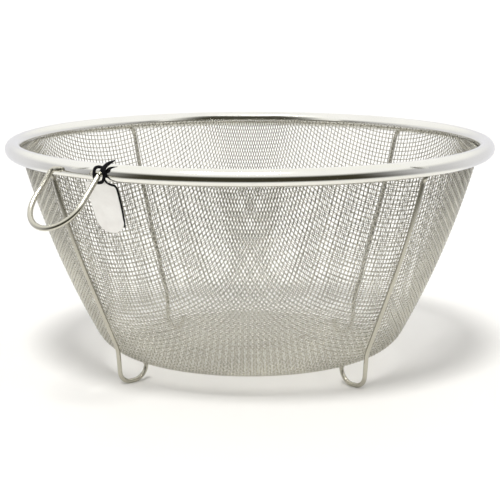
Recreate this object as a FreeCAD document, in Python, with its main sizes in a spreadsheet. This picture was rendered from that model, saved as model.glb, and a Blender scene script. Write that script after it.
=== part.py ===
import FreeCAD, Part
import math
import os

import Sketcher

# Footed basket strainer: a pressed bowl of woven wire clamped in a round rim pipe,
# four bent wire legs welded to its wall, a wire hanging ring and a tag on a cord.
# Millimetres, +Z up, origin on the floor under the middle of the bowl.
# Drops are measured downwards from the middle of the rim pipe.

doc = FreeCAD.newDocument("basket_strainer")
sheet = doc.addObject("Spreadsheet::Sheet", "dims")

DIMENSIONS = [
    # rim pipe
    ("rim_outer_radius", 135.0),
    ("rim_pipe_radius", 4.35),
    ("rim_pipe_wall", 0.8),
    ("rim_height", 123.4),
    ("rim_slot_width", 1.3),
    # woven bowl, as the closed skin that the wires fill
    ("mesh_thickness", 1.0),
    ("mesh_wall_radius", 466.2),
    ("mesh_corner_radius", 22.5),
    ("mesh_base_radius", 662.3),
    ("mesh_corner_centre", 67.4),
    ("mesh_base_drop", 118.0),
    ("mesh_top_radius", 125.354),
    ("mesh_top_drop", 6.004),
    ("mesh_hem_length", 6.2),
    ("mesh_hem_angle", 45.0),
    # legs
    ("leg_wire_radius", 1.2),
    ("leg_top_radius", 128.8),
    ("leg_top_drop", 3.95),
    ("leg_neck_radius", 126.5),
    ("leg_neck_drop", 7.3),
    ("leg_wall_radius", 117.64),
    ("leg_wall_drop", 38.14),
    ("leg_ankle_radius", 89.96),
    ("leg_ankle_drop", 103.5),
    ("leg_heel_radius", 88.4),
    ("leg_sole_drop", 122.2),
    ("leg_toe_radius", 72.7),
    ("leg_end_radius", 71.9),
    ("leg_end_drop", 113.9),
    ("leg_neck_bend", 8.0),
    ("leg_wall_bend", 467.3),
    ("leg_ankle_bend", 15.0),
    ("leg_heel_bend", 6.5),
    ("leg_toe_bend", 8.0),
    # the legs' azimuths, counted from the front (-Y) towards +X
    ("leg_front_left_azimuth", -51.8),
    ("leg_front_right_azimuth", 43.1),
    ("leg_back_right_azimuth", 134.7),
    ("leg_back_left_azimuth", -145.1),
    # hanging ring
    ("ring_wire_radius", 1.4),
    ("ring_half_width", 16.2),
    ("ring_end_bend", 15.9),
    ("ring_depth", 33.9),
    ("ring_tail_length", 5.5),
    ("ring_tail_bend", 2.3),
    ("ring_azimuth", -38.9),
    ("ring_root_radius", 135.4),
    ("ring_root_drop", 0.2),
    ("ring_tilt", 47.0),
    # elastic string
    ("string_radius", 0.5),
    ("string_loop_half_width", 2.2),
    ("string_loop_half_height", 3.3),
    ("string_knot_radius", 1.45),
    # hang tag
    ("tag_width", 18.0),
    ("tag_length", 28.3),
    ("tag_thickness", 0.6),
    ("tag_corner", 2.0),
    ("tag_toe", 8.6),
    ("tag_azimuth", -33.7),
    ("tag_top_radius", 130.0),
    ("tag_top_drop", 5.4),
    ("tag_slope", 21.0),
]

for row, (alias, value) in enumerate(DIMENSIONS, start=1):
    sheet.set("A%d" % row, alias)
    sheet.set("B%d" % row, str(value))
    sheet.setAlias("B%d" % row, alias)
doc.recompute()


def dim(alias):
    return float(sheet.get(alias))


def vec(x, y, z=0.0):
    return FreeCAD.Vector(x, y, z)


def origin_plane(body, role):
    for feature in body.Origin.OriginFeatures:
        if feature.Role == role:
            return feature
    raise RuntimeError("no plane " + role)


def new_body(name):
    body = doc.addObject("PartDesign::Body", name)
    body.Label = name
    return body


def new_sketch(body, name, role):
    sketch = body.newObject("Sketcher::SketchObject", name)
    sketch.AttachmentSupport = [(origin_plane(body, role), "")]
    sketch.MapMode = "FlatFace"
    return sketch


def bind(sketch, name, kind, refs, value, expression):
    # one driving constraint of a sketch, tied to cells of the sheet
    index = sketch.addConstraint(Sketcher.Constraint(kind, *refs, value))
    sketch.renameConstraint(index, name)
    sketch.setExpression("Constraints." + name, expression)


def tie(sketch, kind, *refs):
    sketch.addConstraint(Sketcher.Constraint(kind, *refs))


def arc_between(centre, start, end):
    # the shorter arc about centre from start to end, and whether start is its first end
    radius = (start - centre).Length
    first = math.atan2(start.y - centre.y, start.x - centre.x)
    last = math.atan2(end.y - centre.y, end.x - centre.x)
    circle = Part.Circle(centre, vec(0, 0, 1), radius)
    turn = (last - first) % (2 * math.pi)
    if turn < math.pi:
        return Part.ArcOfCircle(circle, first, first + turn), True
    return Part.ArcOfCircle(circle, last, last + 2 * math.pi - turn), False


def corner_arc(before, corner, after, radius):
    # where an arc of that radius touches the two runs that meet at corner, and its centre
    back = (before - corner).normalize()
    ahead = (after - corner).normalize()
    half = math.acos(max(-1.0, min(1.0, back.dot(ahead)))) / 2
    reach = radius / math.tan(half)
    middle = (back + ahead).normalize()
    return corner + back * reach, corner + middle * (radius / math.sin(half)), corner + ahead * reach


def bent_path(sketch, corners, bends):
    # straight runs joined by tangent arcs. Each corner is a pair of (value, expression)
    # coordinates and each bend an alias, so the sheet drives the whole wire.
    points = [vec(x[0], y[0]) for x, y in corners]
    start = points[0]
    lines = []
    arcs = []
    for index in range(1, len(points) - 1):
        radius = dim(bends[index - 1])
        first, centre, last = corner_arc(points[index - 1], points[index], points[index + 1], radius)
        lines.append(sketch.addGeometry(Part.LineSegment(start, first)))
        arc, forward = arc_between(centre, first, last)
        arcs.append((sketch.addGeometry(arc), forward))
        start = last
    lines.append(sketch.addGeometry(Part.LineSegment(start, points[-1])))
    for index, (arc, forward) in enumerate(arcs):
        tie(sketch, "Tangent", lines[index], 2, arc, 1 if forward else 2)
        tie(sketch, "Tangent", arc, 2 if forward else 1, lines[index + 1], 1)
        bind(sketch, "bend%d" % index, "Radius", (arc,), dim(bends[index]), "dims." + bends[index])
    for index, (x, y) in enumerate(corners):
        if index == 0:
            holder, end = lines[0], 1
        elif index == len(corners) - 1:
            holder, end = lines[-1], 2
        else:
            holder = sketch.addGeometry(Part.Point(points[index]), True)
            end = 1
            tie(sketch, "PointOnObject", holder, 1, lines[index - 1])
            tie(sketch, "PointOnObject", holder, 1, lines[index])
        # a signed distance from the sketch's origin
        bind(sketch, "x%d" % index, "DistanceX", (-1, 1, holder, end), x[0], x[1])
        bind(sketch, "y%d" % index, "DistanceY", (-1, 1, holder, end), y[0], y[1])
    return lines, arcs


def wire_body(name, corners, bends, role, profile_role, radius_alias):
    # a round wire bent along a path that starts square to profile_role's direction
    body = new_body(name)
    path = new_sketch(body, name + "_path", role)
    bent_path(path, corners, bends)
    doc.recompute()
    profile = body.newObject("Sketcher::SketchObject", name + "_section")
    profile.AttachmentSupport = [(path, "Edge1")]
    profile.MapMode = "NormalToEdge"
    profile.MapPathParameter = 0.0
    circle = profile.addGeometry(Part.Circle(vec(0, 0), vec(0, 0, 1), dim(radius_alias)))
    tie(profile, "Coincident", circle, 3, -1, 1)
    bind(profile, "wire_radius", "Radius", (circle,), dim(radius_alias), "dims." + radius_alias)
    doc.recompute()
    pipe = body.newObject("PartDesign::AdditivePipe", name + "_wire")
    pipe.Profile = profile
    pipe.Spine = (path, ["Edge%d" % (i + 1) for i in range(len(path.Shape.Edges))])
    body.Tip = pipe
    return body


def radial(azimuth):
    # turns the sketch's x axis to point out of the bowl at an azimuth from the front
    return FreeCAD.Rotation(vec(0, 0, 1), azimuth - 90.0)


def outward(azimuth):
    angle = math.radians(azimuth)
    return vec(math.sin(angle), -math.cos(angle), 0)


def sideways(azimuth):
    angle = math.radians(azimuth)
    return vec(math.cos(angle), math.sin(angle), 0)


# ---------------------------------------------------------------- rim pipe
def make_rim():
    body = new_body("rim_pipe")
    sketch = new_sketch(body, "rim_section", "XZ_Plane")
    outer = dim("rim_pipe_radius")
    inner = outer - dim("rim_pipe_wall")
    centre = vec(dim("rim_outer_radius") - outer, dim("rim_height"))
    half = dim("rim_slot_width") / 2
    slope = math.radians(dim("mesh_hem_angle"))
    along = vec(math.cos(slope), math.sin(slope))
    across = vec(-along.y, along.x)

    def lip(radius, side):
        return centre + across * (half * side) - along * math.sqrt(radius ** 2 - half ** 2)

    def arc(radius):
        circle = Part.Circle(centre, vec(0, 0, 1), radius)
        low = lip(radius, -1) - centre
        first = math.atan2(low.y, low.x)
        open_angle = 2 * math.asin(half / radius)
        return Part.ArcOfCircle(circle, first, first + 2 * math.pi - open_angle)

    big = sketch.addGeometry(arc(outer))
    small = sketch.addGeometry(arc(inner))
    low = sketch.addGeometry(Part.LineSegment(lip(outer, -1), lip(inner, -1)))
    high = sketch.addGeometry(Part.LineSegment(lip(inner, 1), lip(outer, 1)))
    tie(sketch, "Coincident", big, 1, low, 1)
    tie(sketch, "Coincident", small, 1, low, 2)
    tie(sketch, "Coincident", small, 2, high, 1)
    tie(sketch, "Coincident", big, 2, high, 2)
    tie(sketch, "Coincident", big, 3, small, 3)
    tie(sketch, "Parallel", low, high)
    bind(sketch, "pipe", "Radius", (big,), outer, "dims.rim_pipe_radius")
    bind(sketch, "bore", "Radius", (small,), inner, "dims.rim_pipe_radius - dims.rim_pipe_wall")
    bind(sketch, "reach", "DistanceX", (-1, 1, big, 3), centre.x,
         "dims.rim_outer_radius - dims.rim_pipe_radius")
    bind(sketch, "height", "DistanceY", (-1, 1, big, 3), centre.y, "dims.rim_height")
    bind(sketch, "low_lip", "Distance", (big, 3, low), half, "dims.rim_slot_width / 2")
    bind(sketch, "high_lip", "Distance", (big, 3, high), half, "dims.rim_slot_width / 2")
    bind(sketch, "slot_slope", "Angle", (low,), slope, "dims.mesh_hem_angle * 1 deg")
    doc.recompute()
    turn = body.newObject("PartDesign::Revolution", "rim_turn")
    turn.Profile = sketch
    turn.ReferenceAxis = (sketch, ["V_Axis"])
    turn.Angle = 360
    body.Tip = turn
    return body


# ---------------------------------------------------------------- woven bowl
def make_bowl():
    body = new_body("mesh_bowl")
    sketch = new_sketch(body, "bowl_section", "XZ_Plane")
    height = dim("rim_height")
    thick = dim("mesh_thickness")
    wall = dim("mesh_wall_radius")
    corner = dim("mesh_corner_radius")
    base = dim("mesh_base_radius")
    top = vec(dim("mesh_top_radius"), height - dim("mesh_top_drop"))
    base_centre = vec(0, height - dim("mesh_base_drop") - thick / 2 + base)
    corner_x = dim("mesh_corner_centre")
    corner_centre = vec(corner_x, base_centre.y - math.sqrt((base - corner) ** 2 - corner_x ** 2))
    # the wall's centre is at wall from the top point and at wall - corner from the corner's
    near, far = wall, wall - corner
    gap = corner_centre - top
    span = gap.Length
    along = (near ** 2 - far ** 2 + span ** 2) / (2 * span)
    off = math.sqrt(near ** 2 - along ** 2)
    unit = gap.normalize()
    wall_centre = top + unit * along + vec(unit.y, -unit.x) * off

    def meet(a, b, radius):
        return a + (b - a).normalize() * radius

    slope = math.radians(dim("mesh_hem_angle"))
    hem = vec(math.cos(slope), math.sin(slope))
    hem_end = top + hem * dim("mesh_hem_length")
    side = vec(-hem.y, hem.x) * thick
    # where the inner edge of the hem crosses the wall's inner arc
    start = top + side - wall_centre
    along_hem = start.dot(hem)
    reach = -along_hem + math.sqrt(along_hem ** 2 - start.dot(start) + (wall - thick) ** 2)
    inner_top = top + side + hem * reach

    wall_foot = meet(wall_centre, corner_centre, wall)
    base_edge = meet(base_centre, corner_centre, base)
    inner_foot = meet(wall_centre, corner_centre, wall - thick)
    inner_edge = meet(base_centre, corner_centre, base - thick)
    low = base_centre - vec(0, base)
    inner_low = base_centre - vec(0, base - thick)

    def add_arc(centre, a, b):
        arc, forward = arc_between(centre, a, b)
        return sketch.addGeometry(arc), (1 if forward else 2), (2 if forward else 1)

    ow, ow1, ow2 = add_arc(wall_centre, top, wall_foot)
    oc, oc1, oc2 = add_arc(corner_centre, wall_foot, base_edge)
    ob, ob1, ob2 = add_arc(base_centre, base_edge, low)
    ib, ib1, ib2 = add_arc(base_centre, inner_low, inner_edge)
    ic, ic1, ic2 = add_arc(corner_centre, inner_edge, inner_foot)
    iw, iw1, iw2 = add_arc(wall_centre, inner_foot, inner_top)
    axis = sketch.addGeometry(Part.LineSegment(low, inner_low))
    hem_in = sketch.addGeometry(Part.LineSegment(inner_top, hem_end + side))
    cap = sketch.addGeometry(Part.LineSegment(hem_end + side, hem_end))
    hem_out = sketch.addGeometry(Part.LineSegment(top, hem_end))

    tie(sketch, "Tangent", ow, ow2, oc, oc1)
    tie(sketch, "Tangent", oc, oc2, ob, ob1)
    tie(sketch, "Tangent", ib, ib2, ic, ic1)
    tie(sketch, "Tangent", ic, ic2, iw, iw1)
    tie(sketch, "Coincident", ob, ob2, axis, 1)
    tie(sketch, "Coincident", axis, 2, ib, ib1)
    tie(sketch, "Coincident", iw, iw2, hem_in, 1)
    tie(sketch, "Coincident", hem_in, 2, cap, 1)
    tie(sketch, "Coincident", cap, 2, hem_out, 2)
    tie(sketch, "Coincident", hem_out, 1, ow, ow1)
    tie(sketch, "Coincident", ow, 3, iw, 3)
    tie(sketch, "Coincident", oc, 3, ic, 3)
    tie(sketch, "Coincident", ob, 3, ib, 3)
    tie(sketch, "PointOnObject", ob, 3, -2)
    tie(sketch, "PointOnObject", axis, 1, -2)
    tie(sketch, "PointOnObject", axis, 2, -2)
    tie(sketch, "Parallel", hem_in, hem_out)
    tie(sketch, "Perpendicular", cap, hem_out)
    bind(sketch, "wall", "Radius", (ow,), wall, "dims.mesh_wall_radius")
    bind(sketch, "wall_inside", "Radius", (iw,), wall - thick,
         "dims.mesh_wall_radius - dims.mesh_thickness")
    bind(sketch, "corner", "Radius", (oc,), corner, "dims.mesh_corner_radius")
    bind(sketch, "base", "Radius", (ob,), base, "dims.mesh_base_radius")
    bind(sketch, "corner_reach", "DistanceX", (-1, 1, oc, 3), corner_x, "dims.mesh_corner_centre")
    bind(sketch, "base_height", "DistanceY", (-1, 1, axis, 1), low.y,
         "dims.rim_height - dims.mesh_base_drop - dims.mesh_thickness / 2")
    bind(sketch, "top_reach", "DistanceX", (-1, 1, ow, ow1), top.x, "dims.mesh_top_radius")
    bind(sketch, "top_height", "DistanceY", (-1, 1, ow, ow1), top.y,
         "dims.rim_height - dims.mesh_top_drop")
    bind(sketch, "hem_slope", "Angle", (hem_out,), slope, "dims.mesh_hem_angle * 1 deg")
    bind(sketch, "hem_length", "Distance", (hem_out, 1, hem_out, 2), dim("mesh_hem_length"),
         "dims.mesh_hem_length")
    bind(sketch, "hem_thickness", "Distance", (cap, 1, cap, 2), thick, "dims.mesh_thickness")
    doc.recompute()
    turn = body.newObject("PartDesign::Revolution", "bowl_turn")
    turn.Profile = sketch
    turn.ReferenceAxis = (sketch, ["V_Axis"])
    turn.Angle = 360
    body.Tip = turn
    return body


# ---------------------------------------------------------------- legs
def drop(alias):
    return (dim("rim_height") - dim(alias), "dims.rim_height - dims." + alias)


def across(alias):
    return (dim(alias), "dims." + alias)


LEG_CORNERS = [
    (across("leg_top_radius"), drop("leg_top_drop")),
    (across("leg_neck_radius"), drop("leg_neck_drop")),
    (across("leg_wall_radius"), drop("leg_wall_drop")),
    (across("leg_ankle_radius"), drop("leg_ankle_drop")),
    (across("leg_heel_radius"), drop("leg_sole_drop")),
    (across("leg_toe_radius"), drop("leg_sole_drop")),
    (across("leg_end_radius"), drop("leg_end_drop")),
]
LEG_BENDS = ["leg_neck_bend", "leg_wall_bend", "leg_ankle_bend", "leg_heel_bend", "leg_toe_bend"]


def make_leg(name):
    body = wire_body(name, LEG_CORNERS, LEG_BENDS, "XZ_Plane", None, "leg_wire_radius")
    body.Placement = FreeCAD.Placement(vec(0, 0), radial(dim(name + "_azimuth")))
    return body


# ---------------------------------------------------------------- hanging ring
def make_ring():
    half = (dim("ring_half_width"), "dims.ring_half_width")
    minus = (-half[0], "-dims.ring_half_width")
    depth = (dim("ring_depth"), "dims.ring_depth")
    tail = half[0] - dim("ring_tail_length")
    tail_words = "dims.ring_half_width - dims.ring_tail_length"
    # the round end is drawn as two quarter bends whose radius is the half width
    corners = [
        ((-tail, "-(" + tail_words + ")"), (0.0, "0 * dims.ring_depth")),
        (minus, (0.0, "0 * dims.ring_depth")),
        (minus, depth),
        (half, depth),
        (half, (0.0, "0 * dims.ring_depth")),
        ((tail, tail_words), (0.0, "0 * dims.ring_depth")),
    ]
    bends = ["ring_tail_bend", "ring_end_bend", "ring_end_bend", "ring_tail_bend"]
    body = wire_body("hanging_ring", corners, bends, "XY_Plane", None, "ring_wire_radius")
    body.Placement = ring_placement()
    return body


def ring_placement():
    azimuth = dim("ring_azimuth")
    tilt = math.radians(dim("ring_tilt"))
    side = sideways(azimuth)
    down = outward(azimuth) * math.cos(tilt) - vec(0, 0, 1) * math.sin(tilt)
    root = outward(azimuth) * dim("ring_root_radius")
    root.z = dim("rim_height") - dim("ring_root_drop")
    return FreeCAD.Placement(root, FreeCAD.Rotation(side, down, side.cross(down), "XYZ"))


rim = make_rim()
bowl = make_bowl()
legs = [make_leg(n) for n in ("leg_front_left", "leg_front_right", "leg_back_right", "leg_back_left")]
ring = make_ring()
doc.recompute()


# ---------------------------------------------------------------- hang tag
def tag_frame():
    # x across the tag, y down its slope, z away from the wall
    azimuth = dim("tag_azimuth")
    slope = math.radians(dim("tag_slope"))
    side = sideways(azimuth)
    down = outward(azimuth) * -math.sin(slope) - vec(0, 0, 1) * math.cos(slope)
    root = outward(azimuth) * dim("tag_top_radius")
    root.z = dim("rim_height") - dim("tag_top_drop")
    face = down.cross(side)
    return root, side, down, face


def make_tag():
    body = new_body("hang_tag")
    sketch = new_sketch(body, "tag_outline", "XY_Plane")
    half = dim("tag_width") / 2
    length = dim("tag_length")
    corner = dim("tag_corner")
    toe = dim("tag_toe")
    points = [vec(-half, 0), vec(half, 0), vec(half, -length), vec(-half, -length)]
    radii = [corner, corner, toe, toe]
    names = ["tag_corner", "tag_corner", "tag_toe", "tag_toe"]
    stops = []
    for index, point in enumerate(points):
        before = points[index - 1]
        after = points[(index + 1) % 4]
        stops.append(corner_arc(before, point, after, radii[index]))
    edges = []
    for index in range(4):
        line = Part.LineSegment(stops[index - 1][2], stops[index][0])
        arc, forward = arc_between(stops[index][1], stops[index][0], stops[index][2])
        edges.append((sketch.addGeometry(line), sketch.addGeometry(arc), forward))
    for index, (line, arc, forward) in enumerate(edges):
        following = edges[(index + 1) % 4][0]
        tie(sketch, "Tangent", line, 2, arc, 1 if forward else 2)
        tie(sketch, "Tangent", arc, 2 if forward else 1, following, 1)
        bind(sketch, "corner%d" % index, "Radius", (arc,), radii[index], "dims." + names[index])
    left, top, right, bottom = (edges[i][0] for i in range(4))
    tie(sketch, "Vertical", left)
    tie(sketch, "Vertical", right)
    tie(sketch, "Horizontal", top)
    tie(sketch, "Horizontal", bottom)
    tie(sketch, "PointOnObject", top, 1, -1)
    bind(sketch, "right", "DistanceX", (-1, 1, right, 1), half, "dims.tag_width / 2")
    bind(sketch, "left", "DistanceX", (left, 1, -1, 1), half, "dims.tag_width / 2")
    bind(sketch, "foot", "DistanceY", (bottom, 1, -1, 1), length, "dims.tag_length")
    doc.recompute()
    pad = body.newObject("PartDesign::Pad", "tag_sheet")
    pad.Profile = sketch
    pad.Length = dim("tag_thickness")
    pad.setExpression("Length", "dims.tag_thickness")
    body.Tip = pad
    root, side, down, face = tag_frame()
    body.Placement = FreeCAD.Placement(root, FreeCAD.Rotation(side, down * -1, face, "XYZ"))
    return body


tag = make_tag()


# ---------------------------------------------------------------- elastic string
def ring_point(across_ring, down_ring, above_ring=0.0):
    return ring_placement().multVec(vec(across_ring, down_ring, -above_ring))


def tag_point(across_tag, down_tag, off_tag):
    root, side, down, face = tag_frame()
    return root + side * across_tag + down * down_tag + face * off_tag


def rounded_wire(points, share=0.45):
    # straight runs joined by tangent arcs; each arc takes a share of its shorter run
    edges = []
    radii = []
    start = points[0]
    for index in range(1, len(points) - 1):
        before, corner, after = points[index - 1], points[index], points[index + 1]
        back = before - corner
        ahead = after - corner
        run = min(back.Length, ahead.Length)
        turn = math.pi - back.getAngle(ahead)
        radius = share * run / math.tan(turn / 2)
        first, centre, last = corner_arc(before, corner, after, radius)
        middle = centre + (corner - centre).normalize() * radius
        edges.append(Part.LineSegment(start, first).toShape())
        edges.append(Part.Arc(first, middle, last).toShape())
        radii.append(radius)
        start = last
    edges.append(Part.LineSegment(start, points[-1]).toShape())
    return Part.Wire(edges), radii


def tube(points, radius):
    path, radii = rounded_wire(points)
    direction = points[1] - points[0]
    circle = Part.Wire([Part.Circle(points[0], direction, radius).toShape()])
    solid = path.makePipeShell([circle], True, False)
    expected = math.pi * radius ** 2 * path.Length
    print("tube length %.2f, volume %.2f of %.2f, radii %s"
          % (path.Length, solid.Volume, expected, [round(r, 1) for r in radii]))
    return solid


def round_rim(radius, azimuth, height):
    # a point by its distance from the axis, its azimuth and its height above the pipe's middle
    point = outward(azimuth) * radius
    point.z = dim("rim_height") + height
    return point


# the loop is an oval round the root of the ring's right leg; the knot sits on its upper right
def oval_tube(centre, half_width, half_height, radius):
    # upright oval in a plane that faces the front, two half turns joined by straight sides
    rise = vec(0, 0, half_height - half_width)
    wide = vec(half_width, 0, 0)
    tall = vec(0, 0, half_width)
    corners = [centre + wide - rise, centre + wide + rise, centre - wide + rise, centre - wide - rise]
    edges = [
        Part.LineSegment(corners[0], corners[1]).toShape(),
        Part.Arc(corners[1], centre + rise + tall, corners[2]).toShape(),
        Part.LineSegment(corners[2], corners[3]).toShape(),
        Part.Arc(corners[3], centre - rise - tall, corners[0]).toShape(),
    ]
    path = Part.Wire(edges)
    circle = Part.Wire([Part.Circle(corners[0], vec(0, 0, 1), radius).toShape()])
    return path.makePipeShell([circle], True, False)


loop_at = ring_point(dim("ring_half_width"), 0.0)
loop_at.y = loop_at.y - 0.6
loop_at.z = dim("rim_height") - 0.35
loop = doc.addObject("Part::Feature", "string_loop_turn")
loop.Shape = oval_tube(loop_at, dim("string_loop_half_width"), dim("string_loop_half_height"),
                       dim("string_radius"))

knot_at = round_rim(136.6, -31.0, 1.9)
knot = doc.addObject("Part::Sphere", "string_knot_ball")
knot.Radius = dim("string_knot_radius")
knot.setExpression("Radius", "dims.string_knot_radius")
knot.Placement.Base = knot_at

# the free end of the string lifts off the knot and lies over the rim
TAIL_ROUTE = [
    knot_at,
    round_rim(135.9, -30.6, 4.6),
    round_rim(133.4, -29.9, 5.9),
]
tail = doc.addObject("Part::Feature", "string_tail_end")
tail.Shape = tube(TAIL_ROUTE, dim("string_radius"))

hitch = doc.addObject("Part::MultiFuse", "string_hitch")
hitch.Shapes = [loop, knot, tail]

# the strand drops from the knot, tucks in under the rim, runs along the tag's top edge,
# turns its corner, comes down beside the tag and ends behind its edge
edge = dim("tag_width") / 2 + 0.6
STRAND_ROUTE = [
    round_rim(136.9, -30.7, 0.05),
    round_rim(136.0, -30.5, -2.2),
    round_rim(134.0, -30.6, -4.35),
    round_rim(132.0, -29.9, -5.7),
    tag_point(edge - 0.1, 1.2, 1.1),
    tag_point(edge, 5.9, 0.6),
    tag_point(edge + 0.15, 12.4, 0.3),
    tag_point(edge - 0.05, 19.4, 0.25),
    tag_point(edge - 1.5, 24.0, -0.8),
]
strand = doc.addObject("Part::Feature", "tag_string")
strand.Shape = tube(STRAND_ROUTE, dim("string_radius"))

doc.recompute()

# ---------------------------------------------------------------- checks and export
NODES = {
    "rim_pipe": rim,
    "mesh_bowl": bowl,
    "leg_front_left": legs[0],
    "leg_front_right": legs[1],
    "leg_back_right": legs[2],
    "leg_back_left": legs[3],
    "hanging_ring": ring,
    "string_hitch": hitch,
    "tag_string": strand,
    "hang_tag": tag,
}

for thing in doc.Objects:
    states = list(thing.State)
    if "Invalid" in states or "Error" in states:
        raise RuntimeError("%s is %s" % (thing.Name, states))

os.makedirs("parts", exist_ok=True)
for node, thing in NODES.items():
    thing.Label = node
    shape = thing.Shape
    if shape.isNull() or not shape.isValid() or not shape.Solids:
        raise RuntimeError(node + " has no valid solid")
    box = shape.BoundBox
    print("%-16s solids %d volume %9.1f  x %.1f..%.1f y %.1f..%.1f z %.2f..%.2f" % (
        node, len(shape.Solids), shape.Volume,
        box.XMin, box.XMax, box.YMin, box.YMax, box.ZMin, box.ZMax))
    shape.exportStep("parts/%s.step" % node)
print("knot", [round(v, 3) for v in knot_at], "loop", [round(v, 3) for v in loop_at])
print("tail", [[round(v, 2) for v in p] for p in TAIL_ROUTE])
print("strand", [[round(v, 2) for v in p] for p in STRAND_ROUTE])
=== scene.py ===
"""Footed basket strainer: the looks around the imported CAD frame. Metres, +Z up, front is -Y."""

import math

import bmesh
import bpy
import numpy as np
from mathutils import Euler, Matrix, Vector


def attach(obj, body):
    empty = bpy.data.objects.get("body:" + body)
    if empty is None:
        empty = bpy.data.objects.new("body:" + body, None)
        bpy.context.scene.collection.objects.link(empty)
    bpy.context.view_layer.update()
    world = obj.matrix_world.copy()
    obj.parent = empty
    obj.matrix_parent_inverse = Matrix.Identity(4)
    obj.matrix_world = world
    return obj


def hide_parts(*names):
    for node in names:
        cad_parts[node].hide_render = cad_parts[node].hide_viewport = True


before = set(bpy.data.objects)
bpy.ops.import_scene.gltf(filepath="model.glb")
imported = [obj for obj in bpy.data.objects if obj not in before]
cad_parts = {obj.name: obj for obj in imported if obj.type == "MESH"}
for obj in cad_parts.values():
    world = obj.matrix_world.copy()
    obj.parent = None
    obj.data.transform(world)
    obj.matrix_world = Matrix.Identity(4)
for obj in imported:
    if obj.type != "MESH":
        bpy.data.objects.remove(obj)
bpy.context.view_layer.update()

MM = 0.001
RIM_HEIGHT = 123.4      # middle of the rim pipe above the floor, mm
RIM_REACH = 130.65      # middle of the rim pipe from the axis, mm
RIM_PIPE = 4.35         # outer radius of the rim pipe, mm
UP = np.array([0.0, 0.0, 1.0])

rng = np.random.default_rng(7)


# ------------------------------------------------------------------ camera
CAMERA_PLACE = (0.0, -0.8124, 0.2249)
CAMERA_LENS = 105.3
CAMERA_SENSOR = 36.0
CAMERA_DROP = 11.276    # degrees that it looks down
CAMERA_ROLL = -0.1      # degrees


def make_camera():
    data = bpy.data.cameras.new("camera")
    data.lens = CAMERA_LENS
    data.sensor_width = CAMERA_SENSOR
    data.clip_start = 0.01
    data.clip_end = 50.0
    camera = bpy.data.objects.new("camera", data)
    bpy.context.scene.collection.objects.link(camera)
    tilt = Euler((math.radians(90.0 - CAMERA_DROP), 0.0, 0.0)).to_matrix()
    roll = Matrix.Rotation(math.radians(CAMERA_ROLL), 3, "Z")
    camera.matrix_world = Matrix.Translation(CAMERA_PLACE) @ (tilt @ roll).to_4x4()
    bpy.context.scene.camera = camera


make_camera()


# ------------------------------------------------------------------ helpers
def link(name, data):
    obj = bpy.data.objects.new(name, data)
    bpy.context.scene.collection.objects.link(obj)
    return obj


def quad_mesh(name, verts, quads):
    # verts in mm, quads an (n, 4) array of vertex numbers
    mesh = bpy.data.meshes.new(name)
    verts = np.asarray(verts, np.float32) * MM
    quads = np.asarray(quads, np.int32)
    mesh.vertices.add(len(verts))
    mesh.vertices.foreach_set("co", verts.ravel())
    mesh.loops.add(quads.size)
    mesh.loops.foreach_set("vertex_index", quads.ravel())
    mesh.polygons.add(len(quads))
    mesh.polygons.foreach_set("loop_start", np.arange(0, quads.size, 4, dtype=np.int32))
    mesh.polygons.foreach_set("use_smooth", np.full(len(quads), True))
    mesh.update(calc_edges=True)
    mesh.validate()
    return link(name, mesh)


def unit(v):
    return v / np.maximum(np.linalg.norm(v, axis=-1, keepdims=True), 1e-12)


CAP_DEPTH, CAP_WIDTH = 0.35, 0.6    # of a wire's end, as shares of its radius
CAP_TIP = 1e-4                      # radius left at the very end, mm


def sweep(points, radius, sides, up, cap=True):
    # a round tube along a polyline; up is roughly square to the path at every point.
    # The two end rings close onto a point each, drawn in so the end looks cut and rounded.
    points = np.asarray(points, float)
    up = np.broadcast_to(np.asarray(up, float), points.shape)
    radius = np.broadcast_to(np.asarray(radius, float), (len(points),))
    tangent = unit(np.gradient(points, axis=0))
    side = unit(np.cross(tangent, up))
    top = np.cross(side, tangent)
    if cap:
        first = points[0] - tangent[0] * radius[0] * CAP_DEPTH
        last = points[-1] + tangent[-1] * radius[-1] * CAP_DEPTH
        points = np.vstack([first, first, points, last, last])
        radius = np.concatenate([[CAP_TIP, radius[0] * CAP_WIDTH], radius,
                                 [radius[-1] * CAP_WIDTH, CAP_TIP]])
        side = np.vstack([side[:1], side[:1], side, side[-1:], side[-1:]])
        top = np.vstack([top[:1], top[:1], top, top[-1:], top[-1:]])
    angle = np.arange(sides) * 2 * np.pi / sides
    ring = (np.cos(angle)[None, :, None] * top[:, None, :]
            + np.sin(angle)[None, :, None] * side[:, None, :])
    verts = points[:, None, :] + ring * radius[:, None, None]
    count = len(points)
    row = np.arange(count - 1)[:, None] * sides
    here = np.arange(sides)[None, :]
    there = (here + 1) % sides
    quads = np.stack([row + here, row + there, row + sides + there, row + sides + here], -1)
    return verts.reshape(-1, 3), quads.reshape(-1, 4)


def join(parts):
    verts, quads, base = [], [], 0
    for v, q in parts:
        verts.append(v)
        quads.append(q + base)
        base += len(v)
    return np.vstack(verts), np.vstack(quads)


def outward(azimuth):
    angle = math.radians(azimuth)
    return np.array([math.sin(angle), -math.cos(angle), 0.0])


def sideways(azimuth):
    angle = math.radians(azimuth)
    return np.array([math.cos(angle), math.sin(angle), 0.0])


def round_rim(radius, azimuth, height):
    # distance from the axis, azimuth from the front, height above the pipe's middle
    point = outward(azimuth) * radius
    point[2] = RIM_HEIGHT + height
    return point


# ------------------------------------------------------------------ materials
def new_material(name):
    material = bpy.data.materials.new(name)
    material.use_nodes = True
    nodes = material.node_tree.nodes
    shader = nodes["Principled BSDF"]
    return material, nodes, material.node_tree.links, shader


def add_noise(nodes, links, vector, scale, detail):
    noise = nodes.new("ShaderNodeTexNoise")
    noise.inputs["Scale"].default_value = scale
    noise.inputs["Detail"].default_value = detail
    links.new(vector, noise.inputs["Vector"])
    return noise.outputs["Fac"]


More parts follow.
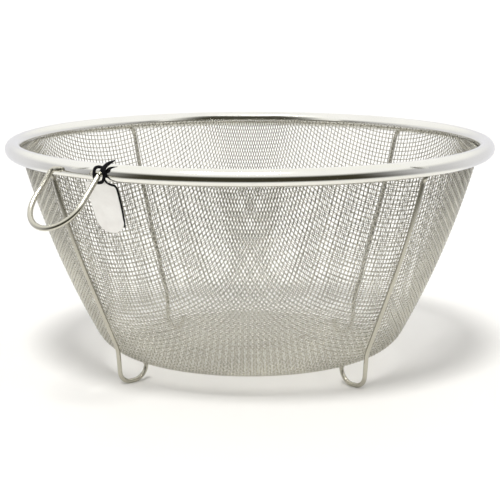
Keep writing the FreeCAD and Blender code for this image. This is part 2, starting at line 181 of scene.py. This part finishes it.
def add_ramp(nodes, links, value, dark, light):
    # dark and light are (position, colour)
    ramp = nodes.new("ShaderNodeValToRGB")
    for element, (position, colour) in zip(ramp.color_ramp.elements, (dark, light)):
        element.position = position
        element.color = (*colour, 1.0)
    links.new(value, ramp.inputs["Fac"])
    return ramp.outputs["Color"]


def add_bump(nodes, links, height, strength, distance, shader):
    lift = nodes.new("ShaderNodeBump")
    lift.inputs["Strength"].default_value = strength
    lift.inputs["Distance"].default_value = distance
    links.new(height, lift.inputs["Height"])
    links.new(lift.outputs["Normal"], shader.inputs["Normal"])


def metal(name, colour, rough, grain_scale, grain_stretch, bump, tint):
    # steel: colour and roughness drift slowly over the piece, fine drawing lines in the bump
    material, nodes, links, shader = new_material(name)
    shader.inputs["Metallic"].default_value = 1.0
    where = nodes.new("ShaderNodeTexCoord").outputs["Object"]
    slow = add_noise(nodes, links, where, 45.0, 3.0)
    dark = [c * (1 - tint) for c in colour]
    light = [min(1.0, c * (1 + tint)) for c in colour]
    shade = add_ramp(nodes, links, slow, (0.3, dark), (0.7, light))
    links.new(shade, shader.inputs["Base Color"])
    spread = nodes.new("ShaderNodeMapRange")
    spread.inputs["To Min"].default_value = rough * 0.8
    spread.inputs["To Max"].default_value = rough * 1.25
    links.new(slow, spread.inputs["Value"])
    links.new(spread.outputs["Result"], shader.inputs["Roughness"])
    mapping = nodes.new("ShaderNodeMapping")
    mapping.inputs["Scale"].default_value = grain_stretch
    links.new(where, mapping.inputs["Vector"])
    grain = add_noise(nodes, links, mapping.outputs["Vector"], grain_scale, 4.0)
    add_bump(nodes, links, grain, bump, 0.00005, shader)
    return material


rim_steel = metal("rim_steel", (0.80, 0.79, 0.74), rough=0.12, grain_scale=900.0,
                  grain_stretch=(1.0, 1.0, 0.12), bump=0.15, tint=0.03)
mesh_steel = metal("mesh_steel", (0.58, 0.565, 0.50), rough=0.17, grain_scale=700.0,
                   grain_stretch=(1.0, 1.0, 1.0), bump=0.3, tint=0.12)
leg_steel = metal("leg_steel", (0.50, 0.48, 0.41), rough=0.24, grain_scale=900.0,
                  grain_stretch=(1.0, 1.0, 0.1), bump=0.2, tint=0.06)
ring_steel = metal("ring_steel", (0.56, 0.54, 0.46), rough=0.18, grain_scale=900.0,
                   grain_stretch=(1.0, 1.0, 0.3), bump=0.15, tint=0.04)


def string_look():
    # matt black braided elastic: crossing strands in the bump
    material, nodes, links, shader = new_material("elastic_string")
    shader.inputs["Base Color"].default_value = (0.004, 0.004, 0.005, 1.0)
    shader.inputs["Roughness"].default_value = 0.9
    shader.inputs["Specular IOR Level"].default_value = 0.15
    where = nodes.new("ShaderNodeTexCoord").outputs["Object"]
    braid = nodes.new("ShaderNodeTexWave")
    braid.wave_type = "BANDS"
    braid.bands_direction = "DIAGONAL"
    braid.inputs["Scale"].default_value = 900.0
    braid.inputs["Distortion"].default_value = 2.0
    links.new(where, braid.inputs["Vector"])
    add_bump(nodes, links, braid.outputs["Fac"], 0.6, 0.0001, shader)
    return material


def card_look():
    # smooth coated card: faint mottling and fibre bump
    material, nodes, links, shader = new_material("tag_card")
    shader.inputs["Roughness"].default_value = 0.45
    where = nodes.new("ShaderNodeTexCoord").outputs["Object"]
    mottle = add_noise(nodes, links, where, 160.0, 5.0)
    shade = add_ramp(nodes, links, mottle, (0.35, (0.78, 0.765, 0.735)), (0.65, (0.84, 0.83, 0.80)))
    links.new(shade, shader.inputs["Base Color"])
    fibre = add_noise(nodes, links, where, 2500.0, 2.0)
    add_bump(nodes, links, fibre, 0.15, 0.00005, shader)
    return material


elastic = string_look()
card = card_look()


def finish_piece(obj, material, body, node):
    obj.data.materials.clear()
    obj.data.materials.append(material)
    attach(obj, body)
    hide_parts(node)
    return obj


# ------------------------------------------------------------------ string
def nurbs(name, points, radius, cyclic=False):
    data = bpy.data.curves.new(name, "CURVE")
    data.dimensions = "3D"
    data.resolution_u = 12
    data.bevel_depth = radius * MM
    data.bevel_resolution = 4
    data.use_fill_caps = True
    spline = data.splines.new("NURBS")
    spline.points.add(len(points) - 1)
    for control, point in zip(spline.points, points):
        control.co = (*(np.asarray(point, float) * MM), 1.0)
    spline.order_u = 3
    spline.use_endpoint_u = not cyclic
    spline.use_cyclic_u = cyclic
    return link(name, data)


# the tag hangs in line with the wall behind it, its root at the middle of its top edge
TAG_AZIMUTH = -33.7
TAG_SLOPE = math.radians(21.0)
TAG_ROOT = round_rim(130.0, TAG_AZIMUTH, -5.4)
TAG_SIDE = sideways(TAG_AZIMUTH)
TAG_DOWN = -outward(TAG_AZIMUTH) * math.sin(TAG_SLOPE) - UP * math.cos(TAG_SLOPE)
TAG_FACE = np.cross(TAG_DOWN, TAG_SIDE)


def tag_point(across, down, off):
    # a place on the tag: along its top edge, down its face, and out of it
    return TAG_ROOT + TAG_SIDE * across + TAG_DOWN * down + TAG_FACE * off


STRAND_ROUTE = [
    round_rim(136.3, -31.1, -0.9),
    round_rim(135.9, -30.9, -2.9),
    round_rim(134.6, -30.7, -4.5),
    round_rim(132.9, -30.1, -5.6),
    round_rim(131.7, -29.6, -6.0),
    tag_point(9.6, 1.9, 0.9),
    tag_point(9.3, 5.9, 0.6),
    tag_point(8.8, 12.4, 0.3),
    tag_point(8.1, 19.4, 0.25),
    tag_point(6.3, 24.6, -0.8),
]
STRAND_RADIUS, LOOP_RADIUS, KNOT_RADIUS, TAIL_RADIUS = 0.5, 0.8, 0.7, 1.15
strand = nurbs("tag_strand", STRAND_ROUTE, STRAND_RADIUS)
finish_piece(strand, elastic, "tag", "tag_string")

LOOP_CENTRE = np.array([-72.42, -116.15, RIM_HEIGHT - 0.35])
LOOP_ROUTE = [LOOP_CENTRE + np.array([x, 0.0, z]) for x, z in (
    (2.4, -1.0), (2.5, 1.4), (2.0, 3.3), (0.0, 4.0), (-2.0, 3.4), (-2.5, 1.2), (-2.4, -1.4),
    (-1.8, -3.5), (0.0, -4.0), (1.8, -3.3))]
loop = nurbs("string_loop", LOOP_ROUTE, LOOP_RADIUS, cyclic=True)
KNOT = np.array([-70.354, -117.089, RIM_HEIGHT + 1.9])
KNOT_SCALE = 0.25       # of a trefoil whose turns reach 3 from its middle
turn = np.linspace(0, 2 * np.pi, 28, endpoint=False)
KNOT_ROUTE = np.stack([np.sin(turn) + 2 * np.sin(2 * turn),
                       -1.5 * np.sin(3 * turn),
                       np.cos(turn) - 2 * np.cos(2 * turn)], 1) * KNOT_SCALE + KNOT
knot = nurbs("string_knot", KNOT_ROUTE, KNOT_RADIUS, cyclic=True)
TAIL_ROUTE = [KNOT + np.array([-0.8, 0.0, -0.6]), KNOT + np.array([0.2, -0.2, 0.9]),
              round_rim(135.4, -30.9, 3.7), round_rim(134.3, -30.5, 4.9),
              round_rim(133.2, -29.9, 5.8), round_rim(132.2, -29.3, 6.5)]
TAIL_TAPER = (1.0, 1.0, 0.95, 0.85, 0.6, 0.25)
tail = nurbs("string_tail", TAIL_ROUTE, TAIL_RADIUS)
for point, share in zip(tail.data.splines[0].points, TAIL_TAPER):
    point.radius = share
for piece in (loop, knot, tail):
    finish_piece(piece, elastic, "strainer", "string_hitch")


# ------------------------------------------------------------------ hang tag
def make_tag():
    # a flat card with square shoulders and a rounded toe, slightly bowed across, its near
    # shoulder flared where it was cut
    width, length, thick, corner, toe = 18.0, 28.3, 0.6, 2.0, 8.6
    flare, flare_depth, skew, bow, edge = 2.6, 11.0, 2.1, 0.2, 0.12
    outline = []
    for cx, cy, radius, start in ((width / 2 - corner, corner, corner, 0),
                                  (-width / 2 + corner, corner, corner, 90),
                                  (-width / 2 + toe, length - toe, toe, 180),
                                  (width / 2 - toe, length - toe, toe, 270)):
        for step in np.linspace(0, 90, 12):
            angle = math.radians(start + step)
            outline.append((cx + radius * math.cos(angle), cy - radius * math.sin(angle)))
    outline = np.array(outline)
    near = (np.clip(-outline[:, 0] / (width / 2), 0, 1)
            * np.clip(1 - outline[:, 1] / flare_depth, 0, 1))
    outline[:, 0] -= flare * near ** 1.5 + skew * (outline[:, 1] / length) ** 1.5
    middle = outline.mean(0)
    scales = (0.0, 0.3, 0.6, 0.85, 0.985)
    rings = ([(scale, 0.0) for scale in scales] + [(1.0, edge), (1.0, thick - edge)]
             + [(scale, thick) for scale in reversed(scales)])
    count = len(outline)
    verts, faces = [], []
    for scale, off in rings:
        for x, y in middle + (outline - middle) * scale:
            crown = bow * (1 - (2 * x / width) ** 2)
            verts.append(tag_point(x, y, off - thick / 2 + crown))
            if scale == 0.0:
                break
    rows = [[0] * count]
    start = 1
    for _ in rings[1:-1]:
        rows.append(list(range(start, start + count)))
        start += count
    rows.append([start] * count)
    for above, below in zip(rows[:-1], rows[1:]):
        for i in range(count):
            j = (i + 1) % count
            corners = (above[i], above[j], below[j], below[i])
            faces.append(list(dict.fromkeys(corners)))
    mesh = bpy.data.meshes.new("hang_tag_card")
    mesh.from_pydata([Vector(v * MM) for v in verts], [], faces)
    mesh.update()
    shell = bmesh.new()
    shell.from_mesh(mesh)
    bmesh.ops.recalc_face_normals(shell, faces=shell.faces)
    shell.to_mesh(mesh)
    shell.free()
    for polygon in mesh.polygons:
        polygon.use_smooth = True
    obj = link("hang_tag_card", mesh)
    return finish_piece(obj, card, "tag", "hang_tag")


tag = make_tag()


# ------------------------------------------------------------------ woven bowl
# the bowl's skin in the plane through its axis: arcs of base, corner and wall, each point as
# its distance from the axis and its height above the middle of the rim pipe
WALL_R, CORNER_R, BASE_R = 465.712, 22.0, 661.844
WALL_C = np.array([-324.477, 116.222])
CORNER_C = np.array([67.375, -91.943])
BASE_C = np.array([0.0, 544.344])
BASE_EDGE = np.array([69.691, -113.821])
WALL_FOOT = np.array([86.803, -102.264])
WALL_TOP = np.array([125.0, -5.64])
PITCH = 2.54            # from wire to wire
WIRE = 0.25             # radius
TOP_RUN = 5.2           # straight stretch from the wall's arc into the rim pipe
JITTER = 0.035          # unevenness of the crossings
WIRE_SIDES = 6
WEAVE_TURN = 45.0       # degrees between the wires and the front
SHARES = 4              # pieces that each family of wires is split into


def bearing(centre, point):
    return math.atan2(point[1] - centre[1], point[0] - centre[0])


BASE_A = -math.pi / 2
BASE_L = BASE_R * (bearing(BASE_C, BASE_EDGE) - BASE_A)
CORNER_A = bearing(CORNER_C, BASE_EDGE)
CORNER_L = CORNER_R * (bearing(CORNER_C, WALL_FOOT) - CORNER_A)
WALL_A = bearing(WALL_C, WALL_FOOT)
WALL_L = WALL_R * (bearing(WALL_C, WALL_TOP) - WALL_A)
BASE_END, CORNER_END = BASE_L, BASE_L + CORNER_L
WALL_END = BASE_L + CORNER_L + WALL_L
SKIN_END = WALL_END + TOP_RUN


def profile(s):
    # reach, height and slope (dr, dz) of the bowl's skin at arc length s from its middle
    s = np.asarray(s, float)
    on_base, on_corner = s < BASE_END, s < CORNER_END
    angle = np.where(on_base, BASE_A + s / BASE_R,
                     np.where(on_corner, CORNER_A + (s - BASE_END) / CORNER_R,
                              WALL_A + (s - CORNER_END) / WALL_R))
    centre = np.where(on_base[..., None], BASE_C,
                      np.where(on_corner[..., None], CORNER_C, WALL_C))
    radius = np.where(on_base, BASE_R, np.where(on_corner, CORNER_R, WALL_R))
    reach = centre[..., 0] + radius * np.cos(angle)
    height = centre[..., 1] + radius * np.sin(angle)
    straight = s >= WALL_END
    lean = bearing(WALL_C, WALL_TOP)
    reach = np.where(straight, WALL_TOP[0] - (s - WALL_END) * math.sin(lean), reach)
    height = np.where(straight, WALL_TOP[1] + (s - WALL_END) * math.cos(lean), height)
    dr = np.where(straight, -math.sin(lean), -np.sin(angle))
    dz = np.where(straight, math.cos(lean), np.cos(angle))
    return reach, height, dr, dz


def on_skin(uv):
    # uv is a place on the flattened skin: its length is the arc length from the middle
    s = np.hypot(uv[..., 0], uv[..., 1])
    reach, height = profile(s)[:2]
    k = np.where(s > 1e-9, reach / np.maximum(s, 1e-9), 1.0)
    return np.stack([uv[..., 0] * k, uv[..., 1] * k, height], -1)


def skin_normal(uv):
    s = np.maximum(np.hypot(uv[..., 0], uv[..., 1]), 1e-9)
    dr, dz = profile(s)[2:]
    return np.stack([uv[..., 0] / s * dz, uv[..., 1] / s * dz, -dr], -1)


def axis_steps(count):
    # arc lengths of the crossings along an axis of the weave, one straight pitch apart
    steps = [0.0]
    while len(steps) < count:
        low, high = steps[-1] + 0.5 * PITCH, steps[-1] + 1.6 * PITCH
        r0, z0 = profile(np.array(steps[-1]))[:2]
        for _ in range(40):
            middle = (low + high) / 2
            r1, z1 = profile(np.array(middle))[:2]
            if math.hypot(r1 - r0, z1 - z0) < PITCH:
                low = middle
            else:
                high = middle
        steps.append(low)
    return steps


def newton(misfit, guess):
    # the place where both distances are one pitch
    nudge, longest = 1e-4, 0.7 * PITCH
    for _ in range(12):
        miss = misfit(guess)
        by_u = (misfit(guess + [nudge, 0]) - miss) / nudge
        by_v = (misfit(guess + [0, nudge]) - miss) / nudge
        det = by_u[:, 0] * by_v[:, 1] - by_u[:, 1] * by_v[:, 0]
        det = np.where(abs(det) < 1e-6, 1e-6, det)
        step = np.stack([-(miss[:, 0] * by_v[:, 1] - miss[:, 1] * by_v[:, 0]) / det,
                         -(by_u[:, 0] * miss[:, 1] - by_u[:, 1] * miss[:, 0]) / det], 1)
        size = np.linalg.norm(step, axis=1, keepdims=True)
        guess = guess + step * np.minimum(1, longest / np.maximum(size, 1e-9))
    return guess


def drape():
    # one quarter of the flat square weave, pressed onto the bowl: every cell keeps its four
    # sides and only shears. Node (i, j) lies one pitch from (i - 1, j) and from (i, j - 1).
    count = int(SKIN_END / PITCH) + 6
    uv = np.full((count, count, 2), np.nan)
    steps = axis_steps(count)
    uv[:, 0, 0] = steps
    uv[:, 0, 1] = 0.0
    uv[0, :, 0] = 0.0
    uv[0, :, 1] = steps
    for diagonal in range(2, 2 * count):
        i = np.arange(1, diagonal)
        j = diagonal - i
        inside = (i < count) & (j < count)
        i, j = i[inside], j[inside]
        left, below, corner = uv[i - 1, j], uv[i, j - 1], uv[i - 1, j - 1]
        known = np.isfinite(left + below + corner).all(1)
        i, j, left, below, corner = i[known], j[known], left[known], below[known], corner[known]
        if not len(i):
            break
        at_left, at_below = on_skin(left), on_skin(below)

        def misfit(q):
            here = on_skin(q)
            return np.stack([((here - at_left) ** 2).sum(1) - PITCH ** 2,
                             ((here - at_below) ** 2).sum(1) - PITCH ** 2], 1)

        found = newton(misfit, left + below - corner)
        reached = abs(misfit(found)).max(1) < 0.05
        reached &= np.hypot(found[:, 0], found[:, 1]) < SKIN_END + 1.2 * PITCH
        found[~reached] = np.nan
        uv[i, j] = found
    return uv


def whole_weave():
    quarter = drape()
    n = len(quarter) - 1
    index = np.arange(-n, n + 1)
    grid = quarter[np.abs(index)[:, None], np.abs(index)[None, :]].copy()
    grid[..., 0] *= np.where(index < 0, -1, 1)[:, None]
    grid[..., 1] *= np.where(index < 0, -1, 1)[None, :]
    grid += rng.normal(0, JITTER, grid.shape)
    return grid


def wire(line, parity):
    # one wire of the weave: line is its crossings in order, parity says over or under.
    # Its last stretch at each end is cut where the skin ends.
    good = np.isfinite(line).all(1)
    if good.sum() < 4:
        return None
    middle = len(line) // 2
    low = high = middle
    while low > 0 and good[low - 1]:
        low -= 1
    while high < len(line) - 1 and good[high + 1]:
        high += 1
    if high - low < 3:
        return None
    nodes = line[low:high + 1]
    count = len(nodes)
    fine = np.empty((2 * count - 1, 2))
    fine[::2] = nodes
    fine[1::2] = (nodes[1:] + nodes[:-1]) / 2
    lift = np.zeros(2 * count - 1)
    lift[::2] = WIRE * np.where((np.arange(count) + low + parity) % 2 == 0, 1.0, -1.0)
    reach = np.hypot(fine[:, 0], fine[:, 1])
    inside = np.where(reach <= SKIN_END)[0]
    if len(inside) < 5:
        return None
    first, last = inside[0], inside[-1]
    keep = slice(first, last + 1)
    pieces, lifts = [fine[keep]], [lift[keep]]
    for end, beyond, before in ((first, first - 1, True), (last, last + 1, False)):
        if 0 <= beyond < len(fine):
            share = (SKIN_END - reach[end]) / max(reach[beyond] - reach[end], 1e-6)
            if share > 0.15:
                point = fine[end] + (fine[beyond] - fine[end]) * share
                height = lift[end] + (lift[beyond] - lift[end]) * share
                if before:
                    pieces.insert(0, point[None])
                    lifts.insert(0, np.array([height]))
                else:
                    pieces.append(point[None])
                    lifts.append(np.array([height]))
    return np.vstack(pieces), np.concatenate(lifts)


def make_weave():
    grid = whole_weave()
    size = len(grid)
    turn = math.radians(WEAVE_TURN)
    spin = np.array([[math.cos(turn), math.sin(turn), 0],
                     [-math.sin(turn), math.cos(turn), 0],
                     [0, 0, 1]])
    warp = [(grid[:, k], k) for k in range(size)]
    weft = [(grid[k, :], k + 1) for k in range(size)]
    for family, lines in (("warp", warp), ("weft", weft)):
        tubes = []
        for line, parity in lines:
            found = wire(line, parity)
            if found is None:
                continue
            uv, lift = found
            normal = skin_normal(uv)
            points = on_skin(uv) + normal * lift[:, None]
            points[:, 2] += RIM_HEIGHT
            tubes.append(sweep(points @ spin, WIRE, WIRE_SIDES, normal @ spin, cap=False))
        share = math.ceil(len(tubes) / SHARES)
        for part in range(SHARES):
            verts, quads = join(tubes[part * share:(part + 1) * share])
            obj = quad_mesh("weave_%s_%d" % (family, part + 1), verts, quads)
            finish_piece(obj, mesh_steel, "strainer", "mesh_bowl")


make_weave()


# ------------------------------------------------------------------ rim pipe
def make_rim():
    section, rings = 72, 420
    around = np.arange(section) * 2 * math.pi / section
    angle = np.arange(rings) * 2 * math.pi / rings
    reach = RIM_REACH + RIM_PIPE * np.cos(around)
    height = np.broadcast_to(RIM_HEIGHT + RIM_PIPE * np.sin(around), (rings, section))
    verts = np.stack([np.outer(np.cos(angle), reach), np.outer(np.sin(angle), reach), height], -1)
    row = np.arange(rings)[:, None] * section
    following = ((np.arange(rings) + 1) % rings)[:, None] * section
    here = np.arange(section)[None, :]
    there = (here + 1) % section
    quads = np.stack([row + here, following + here, following + there, row + there], -1)
    obj = quad_mesh("rim_tube", verts.reshape(-1, 3), quads.reshape(-1, 4))
    finish_piece(obj, rim_steel, "strainer", "rim_pipe")


make_rim()


# ------------------------------------------------------------------ bent wires
BEND_STEP = 1.05        # most between the points of a bend, mm
BEND_POINTS = 8         # added to every bend


def bent(corners, bends):
    # points along straight runs joined by bends of the given radii, in the wire's own plane
    corners = [np.array(c, float) for c in corners]
    points = [corners[0]]
    for k, radius in enumerate(bends):
        before, corner, after = corners[k], corners[k + 1], corners[k + 2]
        back, ahead = unit(before - corner), unit(after - corner)
        half = math.acos(max(-1.0, min(1.0, float(back @ ahead)))) / 2
        reach = radius / math.tan(half)
        centre = corner + unit(back + ahead) * radius / math.sin(half)
        first, last = corner + back * reach - centre, corner + ahead * reach - centre
        sweep_angle = math.pi - 2 * half
        side = np.sign(first[0] * last[1] - first[1] * last[0])
        for part in np.linspace(0, 1, int(sweep_angle * radius / BEND_STEP) + BEND_POINTS):
            cos, sin = math.cos(side * sweep_angle * part), math.sin(side * sweep_angle * part)
            points.append(centre + np.array([first[0] * cos - first[1] * sin,
                                             first[0] * sin + first[1] * cos]))
    points.append(corners[-1])
    return np.array(points)


# a leg's corners in its own upright plane, from the rim down to the foot and in under the
# bowl: distance from the axis and height above the middle of the rim pipe
LEG_PATH = [(128.8, -3.95), (126.5, -7.3), (117.64, -38.14), (89.96, -103.5), (88.4, -122.2),
            (72.7, -122.2), (71.9, -113.9)]
LEG_BENDS = [8.0, 467.3, 15.0, 6.5, 8.0]
LEGS = {"leg_front_left": -51.8, "leg_front_right": 43.1, "leg_back_right": 134.7,
        "leg_back_left": -145.1}
LEG_WIRE, RING_WIRE = 1.2, 1.4          # radii
WELD_WOBBLE = 0.05


def blob(centre, along, across, up, sizes, seed):
    # a small uneven weld bead
    local = np.random.default_rng(seed)
    verts, quads = [], []
    rings, sides = 9, 14
    for i in range(rings):
        polar = math.pi * (i + 0.02) / (rings - 1 + 0.04)
        for k in range(sides):
            a = 2 * math.pi * k / sides
            wobble = 1 + local.normal(0, WELD_WOBBLE)
            verts.append(centre
                         + along * sizes[0] * math.cos(polar) * wobble
                         + across * sizes[1] * math.sin(polar) * math.cos(a) * wobble
                         + up * sizes[2] * math.sin(polar) * math.sin(a) * wobble)
    for i in range(rings - 1):
        for k in range(sides):
            j = (k + 1) % sides
            quads.append((i * sides + k, i * sides + j, (i + 1) * sides + j, (i + 1) * sides + k))
    return np.array(verts), np.array(quads)


def make_leg(name, azimuth):
    flat = bent(LEG_PATH, LEG_BENDS)
    out, side = outward(azimuth), sideways(azimuth)
    points = flat[:, :1] * out + np.outer(flat[:, 1] + RIM_HEIGHT, UP)
    tube = sweep(points, LEG_WIRE, 20, side)
    top, foot = round_rim(128.0, azimuth, -4.5), round_rim(71.9, azimuth, -114.1)
    verts, quads = join([tube,
                         blob(top, side, out, UP, (1.7, 1.1, 0.8), 3),
                         blob(foot, side, out, UP, (1.7, 1.5, 0.8), 4)])
    obj = quad_mesh(name + "_wire", verts, quads)
    finish_piece(obj, leg_steel, "strainer", name)


for leg_name, leg_azimuth in LEGS.items():
    make_leg(leg_name, leg_azimuth)


def make_ring():
    # an open wire ring that slopes down and out, its feet turned in along the rim
    azimuth, tilt = -38.9, math.radians(47.0)
    half, drop, heel, foot_end, foot_bend = 16.2, 33.9, 0.1, 10.7, 2.3
    out, side = outward(azimuth), sideways(azimuth)
    down = out * math.cos(tilt) - UP * math.sin(tilt)
    root = round_rim(135.4, azimuth, -0.2)
    flat = bent([(-foot_end, 0), (-half, 0), (-half, drop), (half, drop), (half, 0), (foot_end, 0)],
                [foot_bend, half - heel, half - heel, foot_bend])
    points = root + flat[:, :1] * side + flat[:, 1:] * down
    beads = []
    for across, seed in ((-11.6, 5), (11.6, 6)):
        spot = root + side * across - out * 0.6
        beads.append(blob(spot, side, out, UP, (2.2, 1.0, 1.5), seed))
    verts, quads = join([sweep(points, RING_WIRE, 24, np.cross(side, down))] + beads)
    obj = quad_mesh("hanging_ring_wire", verts, quads)
    finish_piece(obj, ring_steel, "strainer", "hanging_ring")


make_ring()


# ------------------------------------------------------------------ stage and light
FLOOR_REACH = 6.0
DARK_TONE = np.array([0.045, 0.042, 0.026])
SIDE_TONE = np.array([0.66, 0.66, 0.68])
BACK_TONE = np.array([0.86, 0.86, 0.90])
WHITE_TONE = np.array([1.12, 1.12, 1.09])


def make_stage():
    mesh = bpy.data.meshes.new("floor")
    r = FLOOR_REACH
    mesh.from_pydata([(-r, -r, 0), (r, -r, 0), (r, r, 0), (-r, r, 0)], [], [(0, 1, 2, 3)])
    floor = link("floor", mesh)
    material, _, _, shader = new_material("floor_white")
    shader.inputs["Base Color"].default_value = (0.90, 0.885, 0.85, 1.0)
    shader.inputs["Roughness"].default_value = 0.6
    mesh.materials.append(material)


make_stage()


def soft_step(x, low, high):
    t = min(1.0, max(0.0, (x - low) / (high - low)))
    return t * t * (3 - 2 * t)


def mix_tones(first, second, share):
    return first * (1 - share) + second * share


def glow_card(name, verts, colours, wide):
    # a card that only the steel sees, its points in rows of wide; its reverse is white
    rows = len(verts) // wide
    faces = [(i * wide + k, (i + 1) * wide + k, (i + 1) * wide + k + 1, i * wide + k + 1)
             for i in range(rows - 1) for k in range(wide - 1)]
    mesh = bpy.data.meshes.new(name)
    mesh.from_pydata(verts, [], faces)
    layer = mesh.color_attributes.new("tone", "FLOAT_COLOR", "POINT")
    layer.data.foreach_set("color", np.array(colours, np.float32).ravel())
    card_object = link(name, mesh)
    material = bpy.data.materials.new(name)
    material.use_nodes = True
    nodes = material.node_tree.nodes
    nodes.clear()
    tone = nodes.new("ShaderNodeAttribute")
    tone.attribute_name = "tone"
    glow = nodes.new("ShaderNodeEmission")
    out = nodes.new("ShaderNodeOutputMaterial")
    side = nodes.new("ShaderNodeNewGeometry")
    mix = nodes.new("ShaderNodeMix")
    mix.data_type = "RGBA"
    mix.inputs["B"].default_value = (*WHITE_TONE, 1.0)
    links = material.node_tree.links
    links.new(side.outputs["Backfacing"], mix.inputs["Factor"])
    links.new(tone.outputs["Color"], mix.inputs["A"])
    links.new(mix.outputs["Result"], glow.inputs["Color"])
    links.new(glow.outputs["Emission"], out.inputs["Surface"])
    mesh.materials.append(material)
    card_object.visible_camera = False
    card_object.visible_diffuse = False
    card_object.visible_shadow = False
    card_object.visible_transmission = False


def make_reflector():
    # the low surroundings of the studio as the steel mirrors them: dark in front, grey at the
    # sides and paler behind, turning white upward and close to the bowl
    card_height, far_reach, level, lift_reach = 0.001, 1.2, 0.12, 1.1
    reaches = (0.20, 0.23, 0.26, 0.3, 0.4, 0.55, 0.7, 0.9, far_reach)
    rows = [(reach, card_height) for reach in reaches]
    rows += [(far_reach, level + lift_reach * math.tan(math.radians(lift)))
             for lift in (-3, 0, 4, 8, 12, 16, 20, 24, 28, 32)]
    bearings = np.linspace(-180, 180, 73)
    verts, colours = [], []
    for reach, height in rows:
        lift = math.degrees(math.atan2(height - level, reach))
        to_white = max(soft_step(lift, 7.0, 32.0), 1 - soft_step(reach, 0.20, 0.30))
        for bearing_now in bearings:
            angle = math.radians(bearing_now)
            verts.append((reach * math.sin(angle), -reach * math.cos(angle), height))
            tone = mix_tones(DARK_TONE, SIDE_TONE, soft_step(abs(bearing_now), 42.0, 84.0))
            tone = mix_tones(tone, BACK_TONE, soft_step(abs(bearing_now), 80.0, 120.0))
            colours.append((*mix_tones(tone, WHITE_TONE, to_white), 1.0))
    glow_card("reflector", verts, colours, len(bearings))


def make_screen():
    # a dark upright screen over the bowl's front edge, facing back: the far side of the rim
    # mirrors it, and the near side sees only its white reverse
    place, middle = -0.11, 0.01
    verts, colours = [], []
    xs = np.linspace(-0.22, 0.22, 23)
    for z in np.linspace(0.13, 0.75, 16):
        for x in xs:
            to_white = max(soft_step(abs(x - middle), 0.07, 0.2), soft_step(z, 0.5, 0.75))
            verts.append((x, place, z))
            colours.append((*mix_tones(DARK_TONE, WHITE_TONE, to_white), 1.0))
    glow_card("screen", verts, colours, len(xs))


make_reflector()
make_screen()


def area_light(name, size, energy, place, aim):
    data = bpy.data.lights.new(name, "AREA")
    data.shape = "RECTANGLE"
    data.size, data.size_y = size
    data.energy = energy
    lamp = link(name, data)
    lamp.location = place
    lamp.rotation_euler = (Vector(place) - Vector(aim)).to_track_quat("Z", "Y").to_euler()
    return lamp


def make_lights():
    # the key is a sun for the floor and the card, and a softbox for the steel
    key = bpy.data.lights.new("key", "SUN")
    key.energy = 2.1
    key.angle = math.radians(13.0)
    lamp = link("key", key)
    lamp.rotation_euler = Vector((-0.08, -0.407, 0.914)).to_track_quat("Z", "Y").to_euler()
    lamp.visible_glossy = False
    softbox = area_light("softbox", (0.6, 0.42), 26.0, (-0.12, -0.56, 1.35), (0, 0, 0.06))
    softbox.visible_diffuse = False
    fill = area_light("fill", (1.6, 0.9), 4.5, (-0.5, -1.5, 0.5), (0, 0, 0.08))
    fill.visible_glossy = False


make_lights()


WORLD_SEEN, WORLD_FILL = 1.12, 0.56


def make_world():
    # even white room: full strength to the eye and in the steel, softer as a fill
    world = bpy.data.worlds.new("studio")
    world.use_nodes = True
    nodes, links = world.node_tree.nodes, world.node_tree.links
    light = nodes["Background"]
    light.inputs["Color"].default_value = (1.0, 1.0, 1.0, 1.0)
    ray = nodes.new("ShaderNodeLightPath")
    seen = nodes.new("ShaderNodeMath")
    seen.operation = "MAXIMUM"
    links.new(ray.outputs["Is Camera Ray"], seen.inputs[0])
    links.new(ray.outputs["Is Glossy Ray"], seen.inputs[1])
    strength = nodes.new("ShaderNodeMapRange")
    strength.inputs["To Min"].default_value = WORLD_FILL
    strength.inputs["To Max"].default_value = WORLD_SEEN
    links.new(seen.outputs["Value"], strength.inputs["Value"])
    links.new(strength.outputs["Result"], light.inputs["Strength"])
    bpy.context.scene.world = world
    bpy.context.scene.view_settings.view_transform = "Standard"


make_world()
